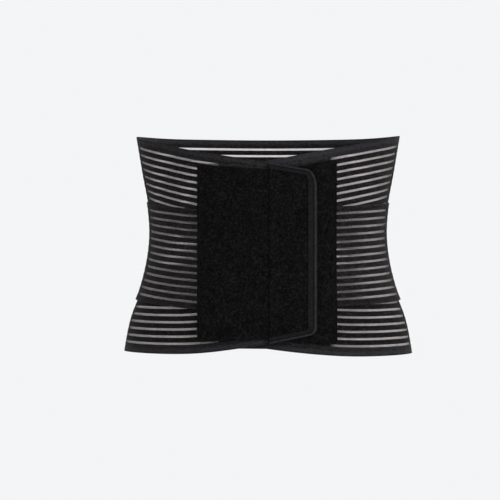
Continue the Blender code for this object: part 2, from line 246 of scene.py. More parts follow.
# A painted highlight line along the upper border's turned edge: its place, its width and its strength
TURNED_EDGE = 0.0014
TURNED_EDGE_WIDTH = 0.0010
TURNED_EDGE_PAINTED_HIGHLIGHT = 0.055

YARN_SHADES = [(0.36, (0.61, 0.56, 0.565)), (0.64, (0.88, 0.82, 0.83))]
YARN_PATCHES = (120.0, 3.0)
YARN_FIBRES = (700.0, 2.0)
YARN_SHARES = (0.5, 0.5)
YARN_GRAIN = (2400.0, 1.0)
YARN_BUMP = (0.00006, 0.6)
YARN_FINISH = (0.60, 0.20, 0.05)

PILE_SHADES = [
    (0.37, (0.0006, 0.0006, 0.0007)), (0.50, (0.0028, 0.0028, 0.0030)), (0.67, (0.0100, 0.0100, 0.0105)),
]
PILE_CURLS = (1100.0, 2.0, 0.7)
PILE_TUFTS = (370.0, 2.0, 0.7)
PILE_CLUMPS = (165.0, 3.0, 0.6)
PILE_PATCHES = (60.0, 2.0)
PILE_SHARES = (0.22, 0.52, 0.18, 0.08)
PILE_CURL_BUMP = (0.00040, 0.9)
PILE_TUFT_BUMP = (0.00070, 0.8)
PILE_FINISH = (0.95, 0.02, 0.015)
SEAM_LINE_SHADE = -0.06

EDGING_SHADES = ((0.0026, 0.0026, 0.0030), (0.0074, 0.0074, 0.0083), (0.0205, 0.0205, 0.0225))
# Edging: strength of its painted highlight along the fold and of the painted shade along its stitched line
EDGING_FOLD_LIGHT_AND_GROOVE_SHADE = 0.38
EDGING_SHEEN = 0.03
HOOK_SHADES = ((0.005, 0.005, 0.005), (0.012, 0.012, 0.012), (0.014, 0.014, 0.014))
# Hook tape: no painted fold highlight or stitched-line shade
HOOK_FOLD_LIGHT_AND_GROOVE_SHADE = 0.0
HOOK_SHEEN = 0.02
TAPE_STOPS = (0.32, 0.64, 0.98)
TAPE_TWILL = 0.0011
TAPE_WARP = 0.0008
TAPE_WEAR = (230.0, 4.0)
TAPE_FIBRES = ((1400.0, 700.0, 1.0), 2.0, 0.55)
TAPE_SHARES = (0.40, 0.60)
TAPE_TWILL_SHARE = 0.05
TAPE_TWILL_BUMP = (0.00012, 0.7)
TAPE_WARP_BUMP = (0.00008, 0.6)
TAPE_WEAR_BUMP = (0.00025, 0.5)
TAPE_ROUGHNESS = 0.60
TAPE_SPECULAR = 0.05
TAPE_SHEEN_ROUGHNESS = 0.35
# Painted shade along the stitched line, as a share of the fold's painted highlight
STITCHED_LINE_PAINTED_SHADE = -0.6

TIE_SHADES = ((0.004, 0.004, 0.004), (0.010, 0.010, 0.010))
TIE_TWIST = 0.0009
SEWING_SHADES = ((0.0025, 0.0025, 0.0025), (0.009, 0.009, 0.009))
SEWING_TWIST = 0.0007
THREAD_STOPS = (0.34, 0.66)
THREAD_FIBRES = (500.0, 2.0)
THREAD_BUMP = (0.00006, 0.8)
THREAD_FINISH = (0.60, 0.04, 0.02)

# Set
FLOOR_DEPTH = 2.6
FLOOR_SIZE = 9.0
FLOOR_SIDES = 96
FLOOR_SHADES = [(0.3, (0.84, 0.84, 0.84)), (0.7, (0.87, 0.87, 0.87))]
FLOOR_PATCHES = 3.0
FLOOR_GRAIN = 8.0
FLOOR_BUMP = (0.002, 1.0)
FLOOR_FINISH = (0.9, 0.2, 0.0)
SURROUND = (0.905, 0.91, 0.92, 1.0)
# Each lamp's place, size and power
LAMPS = {
    "key": ((1.9, -2.0, 1.2), 1.6, 71.0),
    "fill": ((-1.6, -2.2, 0.6), 1.8, 7.0),
    "back": ((0.4, 2.4, 1.2), 1.8, 14.0),
}
CAMERA_DISTANCE = 2.5
FRAME_WIDTH_AT_AXIS = 0.609
CAMERA_SIDE = -0.0219
SENSOR_WIDTH = 36.0

# Share of TOP_HEIGHT, and the half width, front depth and back depth there as shares of the waist's
SECTIONS = np.array(
    [
        (-1.10, 1.262, 1.12, 1.29), (-0.86, 1.235, 1.12, 1.25), (-0.57, 1.175, 1.09, 1.16),
        (-0.33, 1.083, 1.05, 1.08), (-0.13, 1.031, 1.02, 1.03), (0.00, 1.010, 1.01, 1.00),
        (0.15, 1.000, 1.00, 1.00), (0.33, 1.011, 1.00, 1.01), (0.68, 1.072, 1.01, 1.06),
        (1.00, 1.125, 1.03, 1.13), (1.20, 1.155, 1.05, 1.17),
    ]
)
# Share of half the girth, and the top edge, middle drop and bottom edge there as shares of their sizes
LINES = np.array(
    [
        (-0.13, 0.685, 0.75, 0.845), (0.00, 0.748, 0.71, 0.910), (0.21, 0.861, 0.52, 0.977),
        (0.50, 0.992, 0.07, 0.982), (0.75, 1.000, 0.02, 0.995), (1.00, 1.000, 0.00, 1.000),
        (1.25, 1.000, 0.00, 0.985), (1.50, 0.983, 0.03, 0.962), (1.79, 0.827, 0.76, 0.951),
        (2.00, 0.730, 1.00, 0.863),
    ]
)

rng = np.random.default_rng(7)


def smooth_through(x, xs, ys):
    """A curve through the points, with the slope at each taken from its two neighbours."""
    x = np.asarray(x, float)
    slopes = np.gradient(ys, xs)
    i = np.clip(np.searchsorted(xs, x) - 1, 0, len(xs) - 2)
    span = xs[i + 1] - xs[i]
    t = np.clip((x - xs[i]) / span, 0.0, 1.0)
    rise = t * t * (3 - 2 * t)
    start_bend = t * (1 - t) ** 2 * span * slopes[i]
    end_bend = t * t * (t - 1) * span * slopes[i + 1]
    return ys[i] + (ys[i + 1] - ys[i]) * rise + start_bend + end_bend


def smooth_step(x, start, end):
    """0 before the start and 1 after the end, with a soft rise between them."""
    t = np.clip((np.asarray(x, float) - start) / (end - start), 0.0, 1.0)
    return t * t * (3 - 2 * t)


def running_length(points):
    """Distance along a line of points, from its first to each of them."""
    return np.concatenate([[0.0], np.cumsum(np.linalg.norm(np.diff(points, axis=0), axis=1))])


def half_outline(height):
    """Points of the torso's outline on +X at a height, from front to back, and their distances along it."""
    share = height / TOP_HEIGHT
    half_width, front, back = (
        size * smooth_through(share, SECTIONS[:, 0], SECTIONS[:, k + 1])
        for k, size in enumerate((WAIST_HALF_WIDTH, WAIST_FRONT_DEPTH, WAIST_BACK_DEPTH))
    )
    angles = np.linspace(0.0, math.pi, OUTLINE_SAMPLES)
    depths = np.where(angles < math.pi / 2, front, back)
    across = (np.abs(np.sin(angles)) / half_width) ** TORSO_SQUARENESS
    along = (np.abs(np.cos(angles)) / depths) ** TORSO_SQUARENESS
    radii = (across + along) ** (-1 / TORSO_SQUARENESS)
    points = np.stack([radii * np.sin(angles), -radii * np.cos(angles)], axis=1)
    return points, running_length(points)


HALF_GIRTH = half_outline(0.0)[1][-1]
FULL_GIRTH = 2 * HALF_GIRTH
PANEL_LAYER = 3 * LAYER_STEP
OVERLAP_LIFT = PANEL_LAYER + PANEL_THICKNESS + LAYER_GAP
TAB_LAYER = HOOK_THICKNESS + LAYER_GAP
BINDING_REACH = LAYER_GAP + BINDING_THICKNESS
MIDDLE_WIDTH = (MIDDLE_STRIPES + 1) * STRIPE_PITCH
SLOT_START = INNER_PANEL_REACH - STRIPES_UNDER_INNER_PANEL
OUTER_STRIPE_END = OUTER_PANEL_REACH - STRIPES_UNDER_OUTER_PANEL
SLOT_END = FULL_GIRTH - OUTER_STRIPE_END
LIFT_FULL = SLOT_END
# Each band's base line, shift from it, stripes, first border, whether it hangs down from that line, and layer
BANDS = {
    "lower_band": ("bottom", 0.0, OUTER_STRIPES, OUTER_BORDER, False, 0),
    "upper_band": ("top", 0.0, OUTER_STRIPES, OUTER_BORDER, True, 1),
    "middle_band": ("drop", -MIDDLE_WIDTH / 2, MIDDLE_STRIPES, STRIPE_PITCH, False, 2),
}

GRID_BELTS = np.linspace(0.0, HALF_GIRTH, GRID_COLUMNS)
GRID_HEIGHTS = np.linspace(GRID_LOW, GRID_HIGH, GRID_ROWS)


def former_grid():
    """Points and outward normals of the torso over half the girth, on a grid of belt and height."""
    places = np.zeros((len(GRID_HEIGHTS), len(GRID_BELTS), 4))
    share = GRID_BELTS / HALF_GIRTH
    spread = smooth_step(share, OUTER_PANEL_REACH / HALF_GIRTH, 1.0)
    for row, height in enumerate(GRID_HEIGHTS):
        points, arcs = half_outline(height)
        arc = np.minimum(GRID_BELTS + (arcs[-1] - HALF_GIRTH) * spread, arcs[-1])
        x = np.interp(arc, arcs, points[:, 0])
        y = np.interp(arc, arcs, points[:, 1])
        ahead, behind = np.minimum(arc + NORMAL_REACH, arcs[-1]), np.maximum(arc - NORMAL_REACH, 0.0)
        dx = np.interp(ahead, arcs, points[:, 0]) - np.interp(behind, arcs, points[:, 0])
        dy = np.interp(ahead, arcs, points[:, 1]) - np.interp(behind, arcs, points[:, 1])
        dy[(arc < NORMAL_REACH) | (arc > arcs[-1] - NORMAL_REACH)] = 0.0
        normal = np.stack([-dy, dx], axis=1)
        normal /= np.linalg.norm(normal, axis=1)[:, None]
        flip = normal[:, 0] * x + normal[:, 1] * y < 0
        normal[flip] *= -1
        places[row] = np.stack([x, y, normal[:, 0], normal[:, 1]], axis=1)
    return places


FORMER = former_grid()


def overlap_lift(belt):
    """How far the outer end is lifted to pass over the inner panel."""
    return OVERLAP_LIFT * smooth_step(belt, LIFT_FULL - LIFT_RAMP_LENGTH, LIFT_FULL)


def lay(belt, height, offset):
    """World points of cloth, for arrays of belt coordinate, height and offset."""
    belt, height, offset = np.broadcast_arrays(
        np.asarray(belt, float), np.asarray(height, float), np.asarray(offset, float)
    )
    ring = np.where(belt > FULL_GIRTH + HALF_GIRTH, belt - FULL_GIRTH, belt)
    around = np.where(ring <= HALF_GIRTH, ring, ring - FULL_GIRTH)
    u = np.abs(around) / HALF_GIRTH * (len(GRID_BELTS) - 1)
    v = (height - GRID_HEIGHTS[0]) / (GRID_HEIGHTS[1] - GRID_HEIGHTS[0])
    i = np.clip(u.astype(int), 0, len(GRID_BELTS) - 2)
    j = np.clip(v.astype(int), 0, len(GRID_HEIGHTS) - 2)
    a, b = (u - i)[..., None], (v - j)[..., None]
    low = FORMER[j, i] * (1 - a) + FORMER[j, i + 1] * a
    high = FORMER[j + 1, i] * (1 - a) + FORMER[j + 1, i + 1] * a
    at = low * (1 - b) + high * b
    side = np.where(around < 0, -1.0, 1.0)
    out = offset + overlap_lift(belt)
    return np.stack(
        [side * (at[..., 0] + out * at[..., 2]), at[..., 1] + out * at[..., 3], height], axis=-1
    )


def belt_line(name, belt):
    """Height of the belt's top or bottom edge, or of the middle band's centre line."""
    k, size = {"top": (1, TOP_HEIGHT), "drop": (2, -MIDDLE_DROP), "bottom": (3, -BOTTOM_DEPTH)}[name]
    return size * smooth_through(np.asarray(belt) / HALF_GIRTH, LINES[:, 0], LINES[:, k])


def tubes(rings):
    """Closed skins through rings of points: axes are tube, place along, place around and xyz."""
    count, along, around = rings.shape[:3]
    index = np.arange(count * along * around).reshape(count, along, around)
    after = np.roll(index, -1, axis=2)
    walls = np.stack([index[:, :-1], after[:, :-1], after[:, 1:], index[:, 1:]], axis=-1)
    fans = []
    for k in range(1, around - 1):
        first, last = index[:, 0], index[:, -1]
        fans.append(np.stack([first[:, 0], first[:, k + 1], first[:, k]], axis=-1))
        fans.append(np.stack([last[:, 0], last[:, k], last[:, k + 1]], axis=-1))
    return rings.reshape(-1, 3), walls.reshape(-1, 4), np.concatenate(fans)


def flat_tube(rings):
    """A closed skin like a sleeve pressed flat: the second half of each ring lies behind the first."""
    points, walls, _ = tubes(rings[None])
    along, around = rings.shape[:2]
    ends = []
    for base, flip in ((0, False), ((along - 1) * around, True)):
        for k in range(around // 2 - 1):
            quad = [base + k, base + around - 1 - k, base + around - 2 - k, base + k + 1]
            ends.append(quad[::-1] if flip else quad)
    return points, np.concatenate([walls, np.array(ends)]), np.zeros((0, 3), int)


def strands(belt, height, offset, width, rise, sides, taper=None):
    """Threads laid on the torso, one for each row of the arrays, closed at both ends."""
    belt, height, offset = np.broadcast_arrays(belt, height, offset)
    along_belt, along_height = np.gradient(belt, axis=1), np.gradient(height, axis=1)
    run = np.hypot(along_belt, along_height)
    scale = np.ones(belt.shape[1]) if taper is None else np.asarray(taper)
    turns = (np.arange(sides) + 0.5) * 2 * math.pi / sides
    across = 0.5 * np.atleast_2d(width)[..., None] * np.cos(turns) * scale[None, :, None]
    above = 0.5 * rise * np.sin(turns) * scale[None, :, None]
    return tubes(
        lay(
            belt[..., None] - (along_height / run)[..., None] * across,
            height[..., None] + (along_belt / run)[..., None] * across,
            offset[..., None] + above,
        )
    )


def merged(parts):
    """Several (points, quads, triangles) as one."""
    starts = np.cumsum([0] + [len(points) for points, _, _ in parts])[:-1]
    return (
        np.concatenate([points for points, _, _ in parts]),
        np.concatenate([quads + start for (_, quads, _), start in zip(parts, starts)]),
        np.concatenate([tris + start for (_, _, tris), start in zip(parts, starts)]),
    )


def enclosed_volume(points, quads, tris):
    """Volume inside a closed skin, below zero where its faces are turned inwards."""
    triangles = np.concatenate([tris, quads[:, [0, 1, 2]], quads[:, [0, 2, 3]]])
    a, b, c = (points[triangles[:, k]] for k in range(3))
    return np.einsum("ij,ij->i", a, np.cross(b, c)).sum() / 6


def new_piece(name, skin, material, stands_for):
    """A mesh piece from (points, quads, triangles), its faces turned outwards."""
    points, quads, tris = skin
    if enclosed_volume(points, quads, tris) < 0:
        quads, tris = quads[:, ::-1], tris[:, ::-1]
    mesh = bpy.data.meshes.new(name)
    mesh.vertices.add(len(points))
    mesh.vertices.foreach_set("co", points.ravel())
    mesh.loops.add(quads.size + tris.size)
    mesh.loops.foreach_set("vertex_index", np.concatenate([quads.ravel(), tris.ravel()]))
    mesh.polygons.add(len(quads) + len(tris))
    starts = np.concatenate([np.arange(len(quads)) * 4, quads.size + np.arange(len(tris)) * 3])
    mesh.polygons.foreach_set("loop_start", starts)
    mesh.polygons.foreach_set("use_smooth", np.ones(len(starts), bool))
    mesh.update()
    mesh.validate()
    mesh.materials.append(material)
    piece = bpy.data.objects.new(name, mesh)
    bpy.context.scene.collection.objects.link(piece)
    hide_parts(stands_for)
    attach(piece, "root")
    return piece


def cloth_uv(piece, along, across):
    """Stores each point's place along and across the cloth, in metres, for weaves and ribs."""
    mesh = piece.data
    layer = mesh.uv_layers.new(name="cloth")
    index = np.zeros(len(mesh.loops), int)
    mesh.loops.foreach_get("vertex_index", index)
    uv = np.stack([np.ravel(along)[index], np.ravel(across)[index]], axis=1)
    layer.data.foreach_set("uv", uv.ravel())


class Nodes:
    """Shorthand for building a material's node tree."""

    def __init__(self, name):
        self.material = bpy.data.materials.new(name)
        self.material.use_nodes = True
        self.tree = self.material.node_tree
        self.shader = self.tree.nodes["Principled BSDF"]

    def add(self, kind, inputs=None, **settings):
        """A new node with its settings, and values or links for its inputs."""
        node = self.tree.nodes.new(kind)
        for key, value in settings.items():
            setattr(node, key, value)
        for key, value in (inputs or {}).items():
            self.put(node.inputs[key], value)
        return node

    def put(self, socket, value):
        if isinstance(value, bpy.types.NodeSocket):
            self.tree.links.new(value, socket)
        else:
            socket.default_value = value

    def math(self, operation, a, b=None, c=None):
        node = self.add("ShaderNodeMath", operation=operation)
        for k, value in enumerate((a, b, c)):
            if value is not None:
                self.put(node.inputs[k], value)
        return node.outputs[0]

    def place(self):
        return self.add("ShaderNodeTexCoord").outputs["Object"]

    def cloth(self):
        """The cloth's own coordinates: as a vector, along it and across it."""
        uv = self.add("ShaderNodeUVMap", uv_map="cloth").outputs["UV"]
        at = self.add("ShaderNodeSeparateXYZ", {"Vector": uv}).outputs
        return uv, at["X"], at["Y"]

    def wave(self, value, length):
        return self.math("SINE", self.math("MULTIPLY", value, 2 * math.pi / length))

    def crossed_waves(self, along, across, lengths):
        return self.math("MULTIPLY", self.wave(along, lengths[0]), self.wave(across, lengths[1]))

    def noise(self, vector, scale, detail=3.0, roughness=0.55):
        inputs = {"Vector": vector, "Scale": scale, "Detail": detail, "Roughness": roughness}
        return self.add("ShaderNodeTexNoise", inputs).outputs["Fac"]

    def drawn_noise(self, vector, scales, detail, roughness):
        """Noise with a scale of its own in each direction."""
        drawn = self.add("ShaderNodeMapping", {"Vector": vector, "Scale": scales}).outputs[0]
        return self.noise(drawn, 1.0, detail, roughness)

    def plus(self, tone, share, value):
        """The tone with a share of the value added."""
        return self.math("MULTIPLY_ADD", value, share, tone)

    def blend(self, values, shares):
        """The values added up, each times its share."""
        total = self.math("MULTIPLY", values[0], shares[0])
        for value, share in zip(values[1:], shares[1:]):
            total = self.plus(total, share, value)
        return total

    def tinted(self, colour, tint):
        return self.add("ShaderNodeVectorMath", {0: colour, 1: tint}, operation="MULTIPLY").outputs[0]

    def line(self, value, at, width):
        """1 along a line and 0 away from it, softly."""
        away = self.math("DIVIDE", self.math("SUBTRACT", value, at), width)
        return self.math("EXPONENT", self.math("MULTIPLY", self.math("MULTIPLY", away, away), -1.0))

    def ramp(self, factor, stops):
        """A colour for the factor, from stops of a place and a colour."""
        node = self.add("ShaderNodeValToRGB", {"Fac": factor})
        elements = node.color_ramp.elements
        while len(elements) < len(stops):
            elements.new(0.5)
        for element, (place, colour) in zip(elements, stops):
            element.position = place
            element.color = (*colour, 1.0)
        return node.outputs["Color"]

    def bump(self, height, distance, strength, normal=None):
        inputs = {"Height": height, "Distance": distance, "Strength": strength}
        if normal is not None:
            inputs["Normal"] = normal
        return self.add("ShaderNodeBump", inputs).outputs["Normal"]

    def finish(self, colour, normal, roughness, specular, sheen, sheen_roughness=0.5):
        values = {
            "Base Color": colour, "Normal": normal, "Roughness": roughness, "Specular IOR Level": specular,
            "Sheen Weight": sheen, "Sheen Roughness": sheen_roughness,
        }
        for socket, value in values.items():
            self.put(self.shader.inputs[socket], value)
        return self.material


def turned_edge_highlight_mask(n, along, from_base):
    """Where the painted highlight goes: 1 along the upper border's turned edge above the outer panel and 0
    elsewhere, softly.
    """
    to_seam = n.math("SUBTRACT", FULL_GIRTH, along)
    slope = (OUTER_PANEL_TOP_MARGIN - OUTER_PANEL_MARGIN_SEAM) / OUTER_PANEL_REACH
    panel_edge = n.math("MULTIPLY_ADD", to_seam, slope, OUTER_PANEL_MARGIN_SEAM)
    edge = n.line(n.math("SUBTRACT", from_base, panel_edge), -TURNED_EDGE, TURNED_EDGE_WIDTH)
    return n.math("MULTIPLY", edge, n.math("LESS_THAN", to_seam, OUTER_STRIPE_END))


def elastic_material(band):
    """Ribbed black knit: streaky wales, uneven dye, painted shade along the middle of each rib between
    stripes, with a paler, firmer border.
    """
    name, lift, border_lift, top_lift = KNITS[band]
    first_border = BANDS[band][3]
    n = Nodes(name)
    uv, along, across = n.cloth()
    stitch = n.crossed_waves(along, across, KNIT_STITCH)
    blotch = n.noise(n.place(), *KNIT_BLOTCHES)
    streak = n.drawn_noise(uv, *KNIT_STREAKS)
    fibre = n.drawn_noise(uv, *KNIT_FIBRES)
    from_base = n.math("ABSOLUTE", across)
    border = n.math("LESS_THAN", from_base, first_border - STRIPE_GAP / 2)
    # Painted shade: darkest along the middle of each rib, between the stripes
    hollow_painted_shade = n.wave(n.math("ADD", from_base, STRIPE_PITCH / 4 - first_border), STRIPE_PITCH)
    tone = n.blend((blotch, streak, fibre), KNIT_SHARES)
    calm = n.math("MULTIPLY_ADD", border, BORDER_CALM, 1.0)
    tone = n.math("MULTIPLY_ADD", n.math("SUBTRACT", tone, 0.5), calm, 0.5)
    tone = n.plus(tone, KNIT_STITCH_SHARE, stitch)
    tone = n.plus(tone, KNIT_HOLLOW_PAINTED_SHADE, hollow_painted_shade)
    if border_lift:
        raised = n.plus(border_lift, KNIT_MESH_SHARE, n.crossed_waves(along, across, KNIT_MESH))
        tone = n.plus(tone, raised, border)
    if top_lift:
        # A painted highlight along the upper border's turned edge above the outer panel
        tone = n.plus(tone, TURNED_EDGE_PAINTED_HIGHLIGHT, turned_edge_highlight_mask(n, along, from_base))
        in_front = n.line(along, TOP_LIFT_AT, TOP_LIFT_WIDTH)
        tone = n.plus(tone, top_lift, n.math("MULTIPLY", in_front, border))
    tone = n.math("ADD", tone, lift)
    tint = n.ramp(border, [(0.0, (1.0, 1.0, 1.0)), (1.0, BORDER_TINT)])
    normal = n.bump(stitch, *KNIT_STITCH_BUMP)
    normal = n.bump(streak, *KNIT_STREAK_BUMP, normal)
    return n.finish(n.tinted(n.ramp(tone, KNIT_SHADES), tint), normal, *KNIT_FINISH)


def yarn_material(band):
    """Fine pale yarn inlaid in the openwork: slightly glossy, unevenly filled, duller where it is slack, with
    painted shade near the panels and towards the sides.
    """
    n = Nodes(band + "_yarn")
    place = n.place()
    _, along, _ = n.cloth()
    tone = n.blend((n.noise(place, *YARN_PATCHES), n.noise(place, *YARN_FIBRES)), YARN_SHARES)
    # Brightness along the belt: duller where the knit is slack, with painted shade near the panels and
    # towards the sides
    stops = [(share, (value, value, value)) for share, value in YARN_DULLING_AND_PAINTED_SHADE[band]]
    dulling_and_painted_shade = n.ramp(n.math("DIVIDE", along, FULL_GIRTH), stops)
    normal = n.bump(n.noise(place, *YARN_GRAIN), *YARN_BUMP)
    return n.finish(n.tinted(n.ramp(tone, YARN_SHADES), dulling_and_painted_shade), normal, *YARN_FINISH)


def pile_material():
    """Brushed loop pile: matted curls in loose tufts, darker where the pile parts."""
    n = Nodes("loop_pile")
    place = n.place()
    _, along, _ = n.cloth()
    curls, tufts = n.noise(place, *PILE_CURLS), n.noise(place, *PILE_TUFTS)
    clumps, patches = n.noise(place, *PILE_CLUMPS), n.noise(place, *PILE_PATCHES)
    tone = n.blend((curls, tufts, clumps, patches), PILE_SHARES)
    tone = n.plus(tone, SEAM_LINE_SHADE, n.line(along, FULL_GIRTH, SEAM_LINE_WIDTH))
    normal = n.bump(curls, *PILE_CURL_BUMP)
    normal = n.bump(tufts, *PILE_TUFT_BUMP, normal)
    return n.finish(n.ramp(tone, PILE_SHADES), normal, *PILE_FINISH)


def tape_material(name, shades, fold_light_and_groove_shade, sheen):
    """Woven edging tape: a fine twill with wear paler in places, a painted highlight along its fold and
    painted shade along its stitched line.
    """
    n = Nodes(name)
    uv, along, across = n.cloth()
    twill = n.wave(n.math("ADD", along, across), TAPE_TWILL)
    warp = n.wave(across, TAPE_WARP)
    wear = n.noise(n.place(), *TAPE_WEAR)
    tone = n.blend((n.drawn_noise(uv, *TAPE_FIBRES), wear), TAPE_SHARES)
    tone = n.plus(tone, TAPE_TWILL_SHARE, twill)
    # Painted highlight along the fold, then painted shade along the stitched line
    tone = n.plus(tone, fold_light_and_groove_shade, n.line(across, FOLD_LINE, FOLD_LINE_WIDTH))
    tone = n.plus(tone, STITCHED_LINE_PAINTED_SHADE * fold_light_and_groove_shade, n.line(across, STITCHED_LINE, STITCHED_LINE_WIDTH))
    colour = n.ramp(tone, list(zip(TAPE_STOPS, shades)))
    normal = n.bump(twill, *TAPE_TWILL_BUMP)
    normal = n.bump(warp, *TAPE_WARP_BUMP, normal)
    normal = n.bump(wear, *TAPE_WEAR_BUMP, normal)
    return n.finish(colour, normal, TAPE_ROUGHNESS, TAPE_SPECULAR, sheen, TAPE_SHEEN_ROUGHNESS)


def thread_material(name, shades, twist):
    """Black sewing thread: two plies twisted round each other."""
    n = Nodes(name)
    place = n.place()
    at = n.add("ShaderNodeSeparateXYZ", {"Vector": place}).outputs
    ply = n.wave(n.math("ADD", at["Z"], n.math("ADD", at["X"], at["Y"])), twist)
    colour = n.ramp(n.noise(place, *THREAD_FIBRES), list(zip(THREAD_STOPS, shades)))
    return n.finish(colour, n.bump(ply, *THREAD_BUMP), *THREAD_FINISH)


def band_rows(stripes, first_border, from_top):
    """Rib spans and stripe centres across a band, as distances from its base line."""
    centres = first_border + STRIPE_PITCH * np.arange(stripes)
    edges = np.repeat(centres, 2) + np.tile([-0.5, 0.5], stripes) * STRIPE_GAP
    edges = np.concatenate([[0.0], edges, [centres[-1] + STRIPE_PITCH]]).reshape(-1, 2)
    return (-edges[::-1, ::-1], -centres[::-1]) if from_top else (edges, centres)


def rib_ring(low, high):
    """A rib's section, cords in front and flat behind: distances across and heights above its back."""
    cords = max(1, round((high - low) / CORD_PITCH))
    t = np.linspace(0.0, 1.0, cords * CORD_STEPS + 1)
    crown = BAND_THICKNESS - CORD_DEPTH * (0.5 + 0.5 * np.cos(2 * np.pi * cords * t))
    across = low + t * (high - low)
    across = np.concatenate([across, [high - RIB_EDGE_ROUND, low + RIB_EDGE_ROUND]])
    above = np.concatenate([[RIB_EDGE_HEIGHT], crown[1:-1], [RIB_EDGE_HEIGHT], [0.0, 0.0]])
    return across, above


def band_height(name, belt, across):
    """Height on the torso of a place on a band, from its distance across the band."""
    base_line, shift = BANDS[name][:2]
    return belt_line(base_line, belt) + shift + across


def add_band(name, knit, yarn, thread):
    """A band's ribs with the knit that closes the ends of its stripes, and the net in its stripes."""
    _, _, stripes, first_border, from_top, layer = BANDS[name]
    ribs, centres = band_rows(stripes, first_border, from_top)
    inner = layer * LAYER_STEP
    start, end = -INNER_BAND_HIDDEN, FULL_GIRTH - SEAM_GAP - LAYER_GAP
    spans = [(low, high, start, end, BAND_COLUMNS) for low, high in ribs]
    for centre in centres:
        low, high = centre - STRIPE_GAP / 2, centre + STRIPE_GAP / 2
        spans.append((low, high, start, SLOT_START, CLOSED_COLUMNS))
        spans.append((low, high, SLOT_END, end, CLOSED_COLUMNS))
    parts, along, across = [], [], []
    for low, high, first, last, columns in spans:
        ring_across, ring_above = rib_ring(low, high)
        belts = np.linspace(first, last, columns)[:, None]
        height = band_height(name, belts, ring_across[None, :])
        rings = lay(belts, height, inner + ring_above[None, :])
        parts.append(tubes(rings[None]))
        along.append(np.broadcast_to(belts, height.shape).ravel())
        across.append(np.broadcast_to(ring_across[None, :], height.shape).ravel())
    ribbing = new_piece(name + "_ribs", merged(parts), knit, name)
    cloth_uv(ribbing, np.concatenate(along), np.concatenate(across))
    net = add_inlay(name, centres, inner, yarn)
    ties = add_ties(name, centres, inner, thread)


def add_inlay(name, centres, inner, material):
    """Pale yarns laid lengthwise side by side in each stripe, thinner where the knit is slack."""
    belts = np.linspace(SLOT_START - TUCK, SLOT_END + TUCK, INLAY_COLUMNS)
    spread = (np.arange(INLAY_YARNS) + 0.5) / INLAY_YARNS - 0.5
    open_end = smooth_step(belts, SLOT_START, SLOT_START + INLAY_TAPER_AT_START)
    open_end = open_end * (1 - smooth_step(belts, SLOT_END - INLAY_TAPER_AT_END, SLOT_END))
    width = INLAY_WIDTHS[name] * (INLAY_END_WIDTH + (1 - INLAY_END_WIDTH) * open_end)
    across = (centres[:, None] + spread[None, :] * STRIPE_GAP).ravel()[:, None]
    height = band_height(name, belts[None, :], across)
    sway = INLAY_SWAY * np.sin(belts[None, :] * 2 * math.pi / INLAY_SWAY_LENGTH + across * INLAY_SWAY_SHIFT)
    skin = strands(
        belts[None, :], height + sway, inner + INLAY_DEPTH, width[None, :], INLAY_RISE, YARN_SIDES
    )
    inlay = new_piece(name + "_inlay", skin, material, name)
    along = np.repeat(np.tile(belts, len(across)), YARN_SIDES)
    cloth_uv(inlay, along, np.repeat(np.broadcast_to(across, height.shape), YARN_SIDES))
    return inlay


def add_ties(name, centres, inner, material):
    """Thin black threads that cross the pale yarns and tie one rib to the next."""
    feet = np.arange(SLOT_START + TIE_PITCH / 2, SLOT_END, TIE_PITCH)
    half = STRIPE_GAP / 2 + TUCK / 2
    parts = []
    for centre in centres:
        foot = feet + rng.uniform(-TIE_JITTER, TIE_JITTER, len(feet))
        lean = rng.uniform(-TIE_LEAN, TIE_LEAN, len(feet))
        belt = np.stack([foot - lean, foot + lean], axis=1)
        height = band_height(name, belt, centre) + np.array([[-half, half]])
        parts.append(strands(belt, height, inner + TIE_DEPTH, TIE_WIDTH, TIE_WIDTH, YARN_SIDES))
    return new_piece(name + "_ties", merged(parts), material, name)


def near_and_between(start, end, count):
    """Places from start to end in absolute steps near both ends and even steps between."""
    start, end = np.asarray(start, float)[..., None], np.asarray(end, float)[..., None]
    reach = EDGE_STEPS[-1]
    between = start + reach + (end - start - 2 * reach) * np.linspace(0.0, 1.0, count)
    return np.concatenate([start + EDGE_STEPS[:-1], between, end - EDGE_STEPS[-2::-1]], axis=-1)


def corner_drop(distance, radius):
    """How far a rounded corner has drawn in at a distance from its end."""
    d = np.clip(np.asarray(distance, float), 0.0, radius)
    return radius - np.sqrt(np.maximum(radius**2 - (radius - d) ** 2, 0.0))


